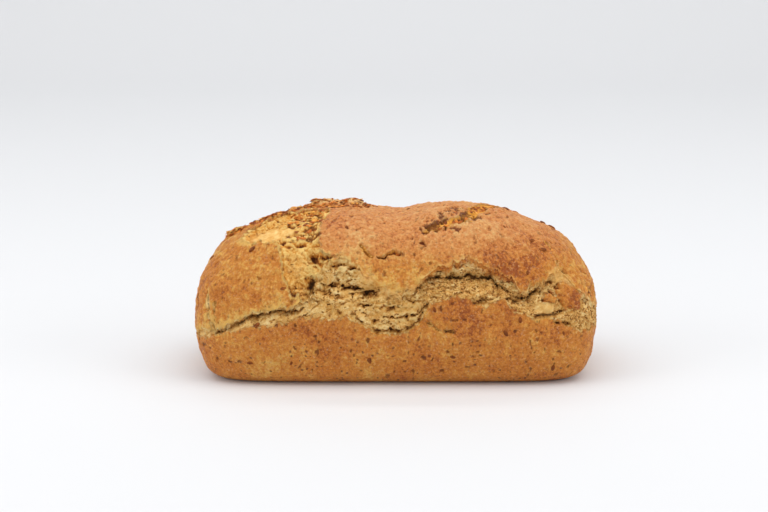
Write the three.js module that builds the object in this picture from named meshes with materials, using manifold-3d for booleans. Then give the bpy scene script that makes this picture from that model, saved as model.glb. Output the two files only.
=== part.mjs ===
// A spelt tin loaf, whole and uncut, standing on its flat base as it left the tin.
// Millimetres, +Z up. +X runs along the loaf, and -Y is the side with the widest tear.
//
// The tin gave the lower part smooth walls that draw in towards the base. Above the tin's rim the
// rising dough broke open all round: the torn band is the shred. Its lower edge is the lip of the
// tin crust, its upper edge the eave of the top crust, which lifted in the oven, and a deep crack
// runs between the two. More tears cross the top crust, the largest over the left shoulder with a
// rim of crags behind it. Linseed from the dough stands a little proud of the crust.
import * as THREE from "three";
import { ImprovedNoise } from "three/addons/math/ImprovedNoise.js";
import { mergeVertices } from "three/addons/utils/BufferGeometryUtils.js";
import Module from "manifold-3d";

// The loaf's form.
const LENGTH = 249;
const WIDTH = 107;
const CROWN_HEIGHT = 102.2;
const BULGE_HEIGHT = 34; // the loaf is widest here
const TIN_TAPER = 9; // how far the wall draws in from the bulge down to the base
const TIN_TAPER_CURVE = 1.7;
const FOOT_RADIUS = 9;
const DOME_CURVE = 2.62; // 2 is an ellipse, a higher number a fuller shoulder
const PLAN_CURVE_BASE = 6.5; // the plan outline is squarer at the base than at the crown
const PLAN_CURVE_CROWN = 2.6;
const PLAN_CURVE_HEIGHT = 85;
const PLAN_CURVE_EASE = 0.8;
const CROWN_WAVES = [
  { x: 50, rise: 3.2, reach: 34 },
  { x: 2, rise: -4, reach: 16 },
  { x: -60, rise: 0.5, reach: 25 },
  { x: 108, rise: 2.5, reach: 22 },
  { x: -110, rise: 2, reach: 20 },
];

// The shred's lines as [distance along the girth, height]. The girth is measured from the middle of
// the front: the right end is at +155, the left end at -155 and the middle of the back at both ±310.
const LIP = [
  [-313, 42], [-285, 47], [-255, 44], [-225, 38], [-190, 33], [-156, 29], [-125, 28], [-105, 34],
  [-94, 38], [-81, 39], [-58, 45], [-30, 46], [-22, 43], [-14, 37], [0, 35], [7, 38], [15, 45],
  [19, 53], [36, 59], [55, 54], [65, 57], [71, 50], [76, 47], [100, 42], [107, 37], [119, 33],
  [156, 36], [190, 41], [225, 47], [255, 44], [285, 38], [313, 42],
];
const CRACK = [
  [-313, 54], [-285, 62], [-265, 66], [-245, 58], [-225, 46], [-200, 38], [-156, 32], [-125, 30],
  [-105, 35], [-90, 46], [-77, 48], [-54, 51], [-49, 62], [-38, 65], [-9, 60], [2, 57], [12, 62],
  [17, 68], [42, 71], [57, 70], [69, 58], [76, 56], [84, 60], [96, 67], [106, 64], [114, 54],
  [126, 42], [156, 44], [185, 48], [215, 56], [240, 65], [262, 68], [285, 58], [313, 54],
];
const EAVE = [
  [-313, 60], [-290, 68], [-265, 74], [-245, 66], [-225, 50], [-200, 40], [-156, 33], [-125, 31],
  [-105, 36], [-90, 47], [-77, 50], [-55, 53], [-50, 63], [-46, 77], [-32, 84], [-14, 69],
  [-2, 61], [6, 62], [25, 77], [36, 82], [62, 75], [75, 62], [82, 64], [97, 71], [106, 70],
  [114, 59], [126, 46], [156, 48], [185, 52], [215, 61], [240, 72], [262, 76], [285, 66], [313, 60],
];
const LIP_DROP = 0.7; // the torn crumb starts this far inside the lip
const EAVE_DROP = 0.5; // and this far inside the eave
const SHRED_DEPTH = 3.2; // it is this deep on both sides of the crack
const CRACK_DEPTH = 4.2; // the crack goes deeper by this much
const CRACK_REACH = 2.2;
const FULL_SHRED = 14; // a shred narrower than this is shallower
const LEAST_SHRED = 0.3;
const LEAST_GAP = 0.8; // between two of the shred's lines
const END_CALM = 0.2; // at the loaf's ends the shred is only this share of its depth
const LIP_SWELL = 0.5;
const LIP_REACH = 7;
const EAVE_LIFT = 1.4;
const EAVE_REACH = 11;

// Tears over the top crust as [x, y, half width], laid on the skin from above.
const SHOULDER_TEAR = [
  [-51, -51, 7], [-57, -43, 11], [-58, -34, 13], [-57, -22, 14], [-55, -6, 15], [-55, 12, 13],
  [-61, 30, 8], [-65, 44, 4],
];
const LEFT_TEAR = [
  [-60, -20, 14], [-74, -9, 13], [-85, -2, 9], [-93, 2, 6], [-100, 4, 4],
];
const RIGHT_TEAR = [
  [21, -31, 4], [30, -29, 5], [39, -27, 5], [45, -21, 6], [51, -8, 6], [57, 2, 6], [64, 12, 4],
];
const TOP_TEARS = [SHOULDER_TEAR, LEFT_TEAR, RIGHT_TEAR];
const TOP_TEAR_DEPTH = 3;
const TOP_TEAR_RIM = 1.2;
const TOP_TEAR_RIM_REACH = 6;

// The rim of crags behind the shoulder tear, as [x, y, half width, rise].
const CRAG_RIM = [
  [-101, 10, 4, 1], [-93, 9, 4, -1], [-84, 12, 6, 0], [-70, 17, 8, 0.5], [-57, 19, 9, 1],
  [-49, 18, 9, 3.8], [-38, 15, 8, 2], [-28, 12, 7, 3.4], [-19, 9, 5, 0.5],
];

// Open cracks cut into the top crust, as [x, y] laid on the skin from above.
const FLAP_CRACK = [[-21, -40], [-14, -44], [-6, -44], [2, -42], [10, -43]];
const END_CRACK = [[88, -18], [93, -22], [96, -28], [99, -32]];
const BACK_CRACK = [[30, 41], [38, 45], [48, 44], [57, 40]];
const TOP_CRACKS = [FLAP_CRACK, END_CRACK, BACK_CRACK];
const TOP_CRACK_WIDTH = 2.4;
const TOP_CRACK_DEPTH = 3.5;
const TOP_CRACK_TIP = 0.25; // the share of the width and depth left at a crack's two tips
const TOP_CRACK_STEPS = 8;

// Linseed baked into the crust, a little proud of it: on the wall as [distance along the girth, height],
// on the top crust as [x, y].
const WALL_SEEDS = [
  [75, 44], [23, 51], [101, 34], [97, 12], [34, 20], [66, 36], [-16, 18], [-64, 16], [-90, 16],
  [-68, 63], [-85, 40], [61, 76], [80, 71], [125, 56], [-130, 52], [-150, 70], [170, 60], [188, 20],
  [205, 30], [230, 15], [-210, 22], [-180, 14], [-240, 30], [-275, 18], [290, 24], [262, 84],
  [-262, 86], [-222, 72],
];
const TOP_SEEDS = [
  [83, -27], [89, -30], [69, 9], [82, 14], [93, 14], [98, 12], [8, 6], [-14, 26], [30, 22],
  [-88, -30], [58, 30], [-30, -30], [66, -24],
];
const SEED_LENGTH = 5;
const SEED_WIDTH = 2.6;
const SEED_THICKNESS = 1.8;
const SEED_SINK = 0.4;
const SEED_SIDES = 6;
const SEED_RINGS = 4;
const SEED_DRAW = 20;

// How wide and how high the crust's swells, the crumb's lumps, the crags and the ragged edges are.
const SWELL = { size: 26, rise: 1.1 };
const LUMP = { size: 7, rise: 1.7 };
const CRAG = { size: 7, rise: 1.2 };
const RAGGED = { size: 9, rise: 1.3 };

// The grid that is shaped into the skin: cells along and across, and rows up the wall.
const CELLS_LONG = 54;
const CELLS_WIDE = 20;
const FOOT_ROWS = 4;
const BAND_ROWS = [4, 5, 4, 4]; // tin wall, shred below its crack, shred above it, shoulder
const ROWS = BAND_ROWS.reduce((sum, rows) => sum + rows, FOOT_ROWS);
const ROUTE_STEPS = 12;
const CAP_HEIGHT = 90; // above this the skin is laid out in plan
const BELOW_BASE = 6; // the skin is made this much too deep and then cut flat
const FOOT_TOE = 0.3; // the foot's round starts this far below the cut
const CRUST_COLOUR = 0xb87a3c;

const HALF_STRAIGHT = (LENGTH - WIDTH) / 2;
const END_RADIUS = WIDTH / 2;
const END_GIRTH = Math.PI * END_RADIUS;
const HALF_GIRTH = 2 * HALF_STRAIGHT + END_GIRTH;
const BISECTIONS = 40;
const NEAR = 1e-3;

const { clamp, lerp, smoothstep, seededRandom } = THREE.MathUtils;
const perlin = new ImprovedNoise();

function uneven(point, { size, rise }, layer = 0) {
  return rise * perlin.noise(point.x / size + layer, point.y / size + layer, point.z / size + layer);
}

function crownAt(x) {
  const waves = CROWN_WAVES.map((wave) => wave.rise * Math.exp(-(((x - wave.x) / wave.reach) ** 2)));
  return waves.reduce((sum, wave) => sum + wave, CROWN_HEIGHT);
}

// Below 1 inside the loaf's smooth skin, 1 on it.
function skinValue(x, y, z) {
  const up = clamp((z - BULGE_HEIGHT) / (crownAt(x) - BULGE_HEIGHT), 0, 1);
  const dome = Math.max((1 - up ** DOME_CURVE) ** (1 / DOME_CURVE), 1e-6);
  const down = clamp((BULGE_HEIGHT - z) / BULGE_HEIGHT, 0, 1);
  const foot = clamp((FOOT_RADIUS - z) / FOOT_RADIUS, 0, 1);
  const inset = TIN_TAPER * down ** TIN_TAPER_CURVE + FOOT_RADIUS * (1 - Math.sqrt(1 - foot * foot));
  const rise = clamp(z / PLAN_CURVE_HEIGHT, 0, 1) ** PLAN_CURVE_EASE;
  const curve = lerp(PLAN_CURVE_BASE, PLAN_CURVE_CROWN, rise);
  const along = Math.abs(x) / ((LENGTH / 2 - inset) * dome);
  const across = Math.abs(y) / ((WIDTH / 2 - inset) * dome);
  return (along ** curve + across ** curve) ** (1 / curve);
}

// The largest number up to reach for which isInside still holds.
function farthest(isInside, reach) {
  let near = 0;
  let far = reach;
  for (let i = 0; i < BISECTIONS; i++) {
    const middle = (near + far) / 2;
    if (isInside(middle)) near = middle;
    else far = middle;
  }
  return near;
}

// The skin at a height, looking out from a place on the loaf's middle line along a bearing.
function wallPoint({ middleX, bearing }, height) {
  const outX = Math.sin(bearing);
  const outY = -Math.cos(bearing);
  const inside = (reach) => skinValue(middleX + outX * reach, outY * reach, height) < 1;
  const reach = farthest(inside, WIDTH);
  return new THREE.Vector3(middleX + outX * reach, outY * reach, height);
}

// The skin straight above a place in plan.
function topPoint(x, y) {
  const inside = (rise) => skinValue(x, y, BULGE_HEIGHT + rise) < 1;
  return new THREE.Vector3(x, y, BULGE_HEIGHT + farthest(inside, crownAt(x) - BULGE_HEIGHT));
}

function skinNormal({ x, y, z }) {
  const step = 0.05;
  return new THREE.Vector3(
    skinValue(x + step, y, z) - skinValue(x - step, y, z),
    skinValue(x, y + step, z) - skinValue(x, y - step, z),
    skinValue(x, y, z + step) - skinValue(x, y, z - step),
  ).normalize();
}

// The distance along the girth at which a look out from the middle line meets the wall.
function girthPlace({ middleX, bearing }) {
  const onBack = Math.abs(bearing) > Math.PI - NEAR;
  if (onBack) return (middleX < 0 ? -1 : 1) * (HALF_GIRTH - Math.abs(middleX));
  return middleX + bearing * END_RADIUS;
}

// The look out from the middle line at a distance along the girth.
function girthLook(along) {
  const past = Math.abs(along) - HALF_STRAIGHT;
  const bearing = (Math.sign(along) * clamp(past, 0, END_GIRTH)) / END_RADIUS;
  if (past < END_GIRTH) return { middleX: clamp(along, -HALF_STRAIGHT, HALF_STRAIGHT), bearing };
  return { middleX: Math.sign(along) * (HALF_GIRTH - Math.abs(along)), bearing };
}

// The height of one of the shred's lines, ragged as the dough tore.
function lineHeight(line, along, layer) {
  const next = Math.max(1, line.findIndex(([place]) => place >= along));
  const [fromPlace, fromHeight] = line[next - 1];
  const [toPlace, toHeight] = line[next];
  const share = clamp((along - fromPlace) / (toPlace - fromPlace), 0, 1);
  const turn = (along / HALF_GIRTH) * Math.PI;
  const round = new THREE.Vector3(Math.cos(turn), Math.sin(turn), 0).multiplyScalar(HALF_GIRTH / Math.PI);
  return lerp(fromHeight, toHeight, share) + uneven(round, RAGGED, layer);
}

function shredLines(along) {
  const lip = lineHeight(LIP, along, 3.3);
  const crack = Math.max(lineHeight(CRACK, along, 5.9), lip + LEAST_GAP);
  const eave = Math.max(lineHeight(EAVE, along, 8.7), crack + LEAST_GAP);
  return { lip, crack, eave };
}

// The wall's rows start below the base, go up the foot's round, and then follow the lip, the crack
// and the eave to the cap, so that the shred's lines stay crisp.
function rowHeight(row, { lip, crack, eave }) {
  if (row === 0) return -BELOW_BASE;
  if (row <= FOOT_ROWS) {
    const turn = ((row - 1) / (FOOT_ROWS - 1)) * (Math.PI / 2);
    return FOOT_RADIUS * (1 - Math.cos(turn)) - FOOT_TOE;
  }
  const marks = [FOOT_RADIUS, lip, crack, eave, CAP_HEIGHT];
  let band = 0;
  let step = row - FOOT_ROWS;
  while (step > BAND_ROWS[band]) {
    step -= BAND_ROWS[band];
    band += 1;
  }
  return lerp(marks[band], marks[band + 1], step / BAND_ROWS[band]);
}

function layCurve(route) {
  return new THREE.CatmullRomCurve3(route.map(([x, y]) => topPoint(x, y)));
}

// A tear or a rim as points on the skin with the half width, and a rim's rise, at each.
function layRoute(route) {
  const spans = route.length - 1;
  const steps = ROUTE_STEPS * spans;
  return layCurve(route)
    .getPoints(steps)
    .map((point, i) => {
      const at = (i / steps) * spans;
      const from = Math.min(Math.floor(at), spans - 1);
      const [, , half, rise = 0] = route[from];
      const [, , nextHalf, nextRise = 0] = route[from + 1];
      return { point, half: lerp(half, nextHalf, at - from), rise: lerp(rise, nextRise, at - from) };
    });
}

// How far a point is from a route's middle, as a share of the half width there, how far past it, and
// the rim's rise there.
function awayFrom(point, laid) {
  let nearest = { share: Infinity, past: Infinity };
  for (const { point: on, half, rise } of laid) {
    const away = point.distanceTo(on);
    if (away / half < nearest.share) nearest = { share: away / half, past: away - half, rise };
  }
  return nearest;
}

const laidTears = TOP_TEARS.flatMap(layRoute);
const laidCrags = layRoute(CRAG_RIM);

// How deep the shred is at a height between its lip and its eave.
function shredDepth(height, { lip, crack, eave }) {
  const below = height < crack;
  const open = below ? (height - lip) / (crack - lip) : (eave - height) / (eave - crack);
  const cleft = CRACK_DEPTH * Math.exp(-(((height - crack) / CRACK_REACH) ** 2));
  return lerp(below ? LIP_DROP : EAVE_DROP, SHRED_DEPTH, Math.sqrt(open)) + cleft;
}

// How far the top crust's tears and crags move the surface from where it would stand.
function topRelief(point, out) {
  const tear = awayFrom(point, laidTears);
  const torn = uneven(point, LUMP) - TOP_TEAR_DEPTH * (1 - tear.share ** 4);
  const raised = out + TOP_TEAR_RIM * Math.exp(-tear.past / TOP_TEAR_RIM_REACH);
  const surface = tear.share < 1 ? Math.min(out, torn) : raised;
  const rim = awayFrom(point, laidCrags);
  const crag = rim.rise + uneven(point, CRAG, 5.1);
  return rim.share < 1 ? surface + (1 - rim.share * rim.share) * crag : surface;
}

// How far the real surface stands out from the smooth skin at a point of it.
function relief(point, along) {
  const lines = shredLines(along);
  const { lip, eave } = lines;
  const calm = lerp(1, END_CALM, smoothstep(Math.abs(point.x), HALF_STRAIGHT, LENGTH / 2));
  const swell = uneven(point, SWELL) * smoothstep(point.z, 0, 2 * FOOT_RADIUS);
  if (point.z < lip + NEAR) return swell + LIP_SWELL * Math.exp(-(lip - point.z) / LIP_REACH);
  if (point.z < eave - NEAR) {
    const wide = clamp((eave - lip) / FULL_SHRED, LEAST_SHRED, 1);
    return (uneven(point, LUMP) - shredDepth(point.z, lines)) * wide * calm;
  }
  return topRelief(point, swell + calm * EAVE_LIFT * Math.exp(-(point.z - eave) / EAVE_REACH));
}

// A three.js geometry with each corner held once, so that its faces close into one surface.
function joined(geometry) {
  geometry.deleteAttribute("normal");
  geometry.deleteAttribute("uv");
  return mergeVertices(geometry);
}

// A box's grid shaped into the loaf's skin. The box spans -1 to 1 each way. Its walls go out to the
// skin row by row, and its top and bottom faces are the rims of those walls drawn in to the middle.
function skinGeometry() {
  const skin = joined(new THREE.BoxGeometry(2, 2, 2, CELLS_LONG, CELLS_WIDE, ROWS));
  const place = skin.attributes.position;
  for (let i = 0; i < place.count; i++) {
    const share = Math.max(Math.abs(place.getX(i)), Math.abs(place.getY(i)), NEAR);
    const rimX = (place.getX(i) / share) * (LENGTH / 2);
    const rimY = (place.getY(i) / share) * (WIDTH / 2);
    const row = Math.round(((place.getZ(i) + 1) / 2) * ROWS);
    const middleX = clamp(rimX, -HALF_STRAIGHT, HALF_STRAIGHT);
    const look = { middleX, bearing: Math.atan2(rimX - middleX, -rimY) };
    const along = girthPlace(look);
    const rim = wallPoint(look, rowHeight(row, shredLines(along)));
    let point = new THREE.Vector3(rim.x * share, rim.y * share, rim.z);
    if (row === ROWS) point = topPoint(point.x, point.y);
    if (row > 0) point.addScaledVector(skinNormal(point), relief(point, along));
    place.setXYZ(i, point.x, point.y, point.z);
  }
  return skin;
}

// A crack's blade: a wedge along its route, wide above the skin and sharp at its bottom.
function bladeGeometry(route) {
  const curve = layCurve(route);
  const corners = [];
  for (let i = 0; i <= TOP_CRACK_STEPS; i++) {
    const at = i / TOP_CRACK_STEPS;
    const point = curve.getPointAt(at);
    const out = skinNormal(point);
    const side = new THREE.Vector3().crossVectors(curve.getTangentAt(at), out).normalize();
    const taper = lerp(TOP_CRACK_TIP, 1, Math.sin(Math.PI * at));
    const brow = point.clone().addScaledVector(out, TOP_CRACK_DEPTH);
    const half = TOP_CRACK_WIDTH * taper;
    corners.push(brow.clone().addScaledVector(side, half), brow.addScaledVector(side, -half));
    corners.push(point.clone().addScaledVector(out, -TOP_CRACK_DEPTH * taper));
  }
  const faces = [[0, 1, 2]];
  for (let i = 0; i < TOP_CRACK_STEPS; i++) {
    for (let corner = 0; corner < 3; corner++) {
      const a = 3 * i + corner;
      const b = 3 * i + ((corner + 1) % 3);
      faces.push([a, a + 3, b], [b, a + 3, b + 3]);
    }
  }
  const last = 3 * TOP_CRACK_STEPS;
  faces.push([last, last + 2, last + 1]);
  return new THREE.BufferGeometry().setFromPoints(corners).setIndex(faces.flat());
}

// One linseed lying flat on the crust at a point of the skin, turned by an angle.
function seedGeometry(point, along, turn) {
  const out = skinNormal(point);
  const flat = new THREE.Quaternion().setFromUnitVectors(new THREE.Vector3(0, 0, 1), out);
  const at = point.clone().addScaledVector(out, relief(point, along) - SEED_SINK);
  const seed = joined(new THREE.SphereGeometry(0.5, SEED_SIDES, SEED_RINGS));
  seed.scale(SEED_WIDTH, SEED_LENGTH, SEED_THICKNESS).rotateZ(turn).applyQuaternion(flat);
  return seed.translate(at.x, at.y, at.z);
}

function seedGeometries() {
  seededRandom(SEED_DRAW);
  const onWall = WALL_SEEDS.map(([along, height]) => {
    return seedGeometry(wallPoint(girthLook(along), height), along, Math.PI * seededRandom());
  });
  const onTop = TOP_SEEDS.map(([x, y]) => {
    const middleX = clamp(x, -HALF_STRAIGHT, HALF_STRAIGHT);
    const along = girthPlace({ middleX, bearing: Math.atan2(x - middleX, -y) });
    return seedGeometry(topPoint(x, y), along, Math.PI * seededRandom());
  });
  return [...onWall, ...onTop];
}

// Everything above the table that the loaf stands on.
function aboveTable() {
  const height = 2 * CROWN_HEIGHT;
  return joined(new THREE.BoxGeometry(2 * LENGTH, 2 * WIDTH, height)).translate(0, 0, height / 2);
}

const wasm = await Module();
wasm.setup();

function toSolid(geometry) {
  const vertProperties = new Float32Array(geometry.attributes.position.array);
  const triVerts = new Uint32Array(geometry.index.array);
  return new wasm.Manifold(new wasm.Mesh({ numProp: 3, vertProperties, triVerts }));
}

function toGeometry(solid) {
  const mesh = solid.getMesh();
  const geometry = new THREE.BufferGeometry();
  geometry.setAttribute("position", new THREE.BufferAttribute(mesh.vertProperties, 3));
  return geometry.setIndex(new THREE.BufferAttribute(mesh.triVerts, 1));
}

let solid = toSolid(skinGeometry()).intersect(toSolid(aboveTable()));
for (const route of TOP_CRACKS) solid = solid.subtract(toSolid(bladeGeometry(route)));
for (const seed of seedGeometries()) solid = solid.add(toSolid(seed));

// The origin is on the table, under the middle of the loaf.
const geometry = toGeometry(solid);
geometry.computeBoundingBox();
const middle = geometry.boundingBox.getCenter(new THREE.Vector3());
geometry.translate(-middle.x, -middle.y, 0);
geometry.computeVertexNormals();

const crust = new THREE.MeshStandardMaterial({ color: CRUST_COLOUR, roughness: 0.8, metalness: 0 });
const loaf = new THREE.Mesh(geometry, crust);
loaf.name = "loaf";

const bread = new THREE.Group();
bread.add(loaf);

export default bread;
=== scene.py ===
import math
import bmesh
import bpy
import numpy as np
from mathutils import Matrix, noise


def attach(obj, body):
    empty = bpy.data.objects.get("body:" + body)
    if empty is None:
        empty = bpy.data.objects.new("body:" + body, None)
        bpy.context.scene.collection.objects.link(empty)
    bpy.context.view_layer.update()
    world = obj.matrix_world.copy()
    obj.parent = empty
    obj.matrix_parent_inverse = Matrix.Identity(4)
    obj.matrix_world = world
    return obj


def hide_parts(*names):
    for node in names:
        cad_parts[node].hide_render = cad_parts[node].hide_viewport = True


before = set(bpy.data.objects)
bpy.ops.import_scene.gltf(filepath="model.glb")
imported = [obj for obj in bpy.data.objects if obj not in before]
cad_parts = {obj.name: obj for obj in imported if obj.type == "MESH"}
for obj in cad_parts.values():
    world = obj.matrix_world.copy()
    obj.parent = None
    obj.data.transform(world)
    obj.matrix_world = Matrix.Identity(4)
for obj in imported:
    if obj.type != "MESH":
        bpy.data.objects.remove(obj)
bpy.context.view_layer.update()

# The loaf: spelt dough baked in a tin, crust and crumb in one piece.
# The tin gave the lower wall its smooth skin. Above the tin's rim the rising dough broke open all round,
# and the top crust lifted off the torn crumb, or shred. Lengths are millimetres until the mesh is made.
MM = 0.001
LENGTH = 249
WIDTH = 107
CROWN_HEIGHT = 102.2
BULGE_HEIGHT = 34
TIN_TAPER = 9
TIN_TAPER_CURVE = 1.7
FOOT_RADIUS = 9
DOME_CURVE = 2.62
PLAN_CURVE_BASE = 6.5
PLAN_CURVE_CROWN = 2.6
PLAN_CURVE_HEIGHT = 85
PLAN_CURVE_EASE = 0.8
CROWN_WAVES = [(50, 3.2, 34), (2, -4, 16), (-60, 0.5, 25), (108, 2.5, 22), (-110, 2, 20)]
CAP_HEIGHT = 90
HALF_STRAIGHT = (LENGTH - WIDTH) / 2
END_RADIUS = WIDTH / 2
HALF_GIRTH = 2 * HALF_STRAIGHT + math.pi * END_RADIUS
BISECTIONS = 32
NEAR = 1e-3


def smooth_step(low, high, value):
    """A smooth rise from 0 at low to 1 at high."""
    share = np.clip((value - low) / (high - low), 0, 1)
    return share * share * (3 - 2 * share)


def bell(value, width):
    """1 at 0, and next to nothing a few widths away."""
    return np.exp(-((value / width) ** 2))


def crown_at(x):
    """The height of the top along the loaf."""
    return CROWN_HEIGHT + sum(rise * bell(x - at, reach) for at, rise, reach in CROWN_WAVES)


def skin_value(x, y, z):
    """Below 1 inside the loaf's smooth skin, 1 on it."""
    up = np.clip((z - BULGE_HEIGHT) / (crown_at(x) - BULGE_HEIGHT), 0, 1)
    dome = np.maximum((1 - up**DOME_CURVE) ** (1 / DOME_CURVE), NEAR)
    down = np.clip((BULGE_HEIGHT - z) / BULGE_HEIGHT, 0, 1)
    foot = np.clip((FOOT_RADIUS - z) / FOOT_RADIUS, 0, 1)
    inset = TIN_TAPER * down**TIN_TAPER_CURVE + FOOT_RADIUS * (1 - np.sqrt(1 - foot * foot))
    rise = np.clip(z / PLAN_CURVE_HEIGHT, 0, 1) ** PLAN_CURVE_EASE
    curve = PLAN_CURVE_BASE + (PLAN_CURVE_CROWN - PLAN_CURVE_BASE) * rise
    along = np.abs(x) / ((LENGTH / 2 - inset) * dome)
    across = np.abs(y) / ((WIDTH / 2 - inset) * dome)
    return (along**curve + across**curve) ** (1 / curve)


def farthest(is_inside, reach):
    """The largest numbers up to reach for which is_inside still holds."""
    near = np.zeros_like(reach)
    far = reach
    for _ in range(BISECTIONS):
        middle = (near + far) / 2
        inside = is_inside(middle)
        near = np.where(inside, middle, near)
        far = np.where(inside, far, middle)
    return near


def wall_points(along, height):
    """The skin at distances along the girth and heights. The girth starts at the middle of the front."""
    past = np.abs(along) - HALF_STRAIGHT
    bearing = np.sign(along) * np.clip(past / END_RADIUS, 0, math.pi)
    on_front = np.clip(along, -HALF_STRAIGHT, HALF_STRAIGHT)
    on_back = np.sign(along) * (HALF_GIRTH - np.abs(along))
    middle_x = np.where(past < math.pi * END_RADIUS, on_front, on_back)
    out_x = np.sin(bearing)
    out_y = -np.cos(bearing)
    reach = farthest(
        lambda far: skin_value(middle_x + out_x * far, out_y * far, height) < 1,
        np.full(np.shape(height), float(WIDTH)),
    )
    return np.stack([middle_x + out_x * reach, out_y * reach, height], axis=-1)


def top_points(x, y):
    """The skin straight above places in plan."""
    rise = farthest(lambda up: skin_value(x, y, BULGE_HEIGHT + up) < 1, crown_at(x) - BULGE_HEIGHT)
    return np.stack([x, y, BULGE_HEIGHT + rise], axis=-1)


def skin_normals(points):
    """The way out of the loaf at points of its skin."""
    x, y, z = points.T
    step = 0.05
    slope = np.stack(
        [
            skin_value(x + step, y, z) - skin_value(x - step, y, z),
            skin_value(x, y + step, z) - skin_value(x, y - step, z),
            skin_value(x, y, z + step) - skin_value(x, y, z - step),
        ],
        axis=-1,
    )
    return slope / np.linalg.norm(slope, axis=1, keepdims=True)


def rough(points, size, layer, octaves=1):
    """Unevenness of about -1 to 1, with bumps about size wide."""
    places = (points / size + layer).tolist()
    return np.array([noise.fractal(place, 1.0, 2.0, octaves) for place in places])


def crests(points, size, layer, octaves=1):
    """Sharp crests like pulled strands, with hollows between them, from -1 to 1."""
    return 1 - 3 * np.abs(rough(points, size, layer, octaves))


# The shred's lines, as distance along the girth and height: the tin crust ends at the lip, the top crust
# starts at the eave, and the crack is the deepest line between them.
LIP = [
    (-313, 42), (-285, 47), (-255, 44), (-225, 38), (-190, 33), (-156, 29), (-125, 28), (-105, 34),
    (-94, 38), (-81, 39), (-58, 45), (-30, 46), (-22, 43), (-14, 37), (0, 35), (7, 38), (15, 45),
    (19, 53), (36, 59), (55, 54), (65, 57), (71, 50), (76, 47), (100, 42), (107, 37), (119, 33),
    (156, 36), (190, 41), (225, 47), (255, 44), (285, 38), (313, 42),
]
CRACK = [
    (-313, 54), (-285, 62), (-265, 66), (-245, 58), (-225, 46), (-200, 38), (-156, 32), (-125, 30),
    (-105, 35), (-90, 46), (-77, 48), (-54, 51), (-49, 62), (-38, 65), (-9, 60), (2, 57), (12, 62),
    (17, 68), (42, 71), (57, 70), (69, 58), (76, 56), (84, 60), (96, 67), (106, 64), (114, 54),
    (126, 42), (156, 44), (185, 48), (215, 56), (240, 65), (262, 68), (285, 58), (313, 54),
]
EAVE = [
    (-313, 60), (-290, 68), (-265, 74), (-245, 66), (-225, 50), (-200, 40), (-156, 33), (-125, 31),
    (-105, 36), (-90, 47), (-77, 50), (-57, 53), (-52, 61), (-44, 75), (-33, 83), (-14, 69),
    (-2, 61), (6, 62), (25, 77), (36, 82), (62, 75), (75, 62), (82, 64), (97, 71), (106, 70),
    (114, 59), (126, 46), (156, 48), (185, 52), (215, 61), (240, 72), (262, 76), (285, 66), (313, 60),
]
CRACK_FLOOR = [
    (-313, 4), (-265, 5), (-225, 3), (-156, 1.5), (-125, 2), (-105, 2.5), (-90, 4), (-62, 4),
    (-57, 1.5), (-49, 1.5), (-44, 3.5), (-30, 3.8), (-12, 3.8), (-4, 3), (8, 3), (17, 4.5), (30, 6),
    (58, 6), (70, 3.5), (98, 3.5), (108, 2), (126, 0.8), (156, 0.8), (215, 4), (262, 5), (313, 4),
]
LEAST_GAP = 0.8
RAGGED_COARSE = 9
RAGGED_FINE = 3.6


def line_at(line, along):
    """What a line gives at distances along the girth."""
    places, heights = np.array(line).T
    return np.interp(along, places, heights)


def ragged_line(line, along, layer, coarse, fine):
    """A line round the girth, torn unevenly."""
    turn = along / HALF_GIRTH * math.pi
    ring = np.stack([np.cos(turn), np.sin(turn), 0 * turn], axis=-1) * HALF_GIRTH / math.pi
    wander = line_at(line, along) + coarse * rough(ring, RAGGED_COARSE, layer)
    return wander + fine * rough(ring, RAGGED_FINE, layer, 3)


# The grid of the skin: columns round the girth, rows up the wall that follow the shred's lines, and above
# them a cap laid out in plan, drawn in from the rim of the wall to the middle.
CELLS_LONG = 480
CELLS_WIDE = 96
FOOT_ROWS = 6
BAND_ROWS = [44, 42, 26, 44]

long_steps = np.linspace(-1, 1, CELLS_LONG + 1)
wide_steps = np.linspace(-1, 1, CELLS_WIDE + 1)
grid_x, grid_y = np.meshgrid(long_steps, wide_steps, indexing="ij")
rim_places = (
    [(i, 0) for i in range(CELLS_LONG)]
    + [(CELLS_LONG, j) for j in range(CELLS_WIDE)]
    + [(i, CELLS_WIDE) for i in range(CELLS_LONG, 0, -1)]
    + [(0, j) for j in range(CELLS_WIDE, 0, -1)]
)
column_count = len(rim_places)


def girth_of(x, y):
    """The distance along the girth of the look from the middle line to a place on the plan's edge."""
    middle_x = np.clip(x, -HALF_STRAIGHT, HALF_STRAIGHT)
    bearing = np.arctan2(x - middle_x, -y)
    on_back = np.where(middle_x < 0, -1, 1) * (HALF_GIRTH - np.abs(middle_x))
    return np.where(np.abs(bearing) > math.pi - NEAR, on_back, middle_x + bearing * END_RADIUS)


rim_i, rim_j = np.array(rim_places).T
column_along = girth_of(grid_x[rim_i, rim_j] * LENGTH / 2, grid_y[rim_i, rim_j] * WIDTH / 2)
column_lip = ragged_line(LIP, column_along, 3.3, 1.6, 1.4)
column_crack = np.maximum(ragged_line(CRACK, column_along, 5.9, 1.6, 2.4), column_lip + LEAST_GAP)
column_eave = np.maximum(ragged_line(EAVE, column_along, 8.7, 2.4, 3.2), column_crack + LEAST_GAP)

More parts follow.
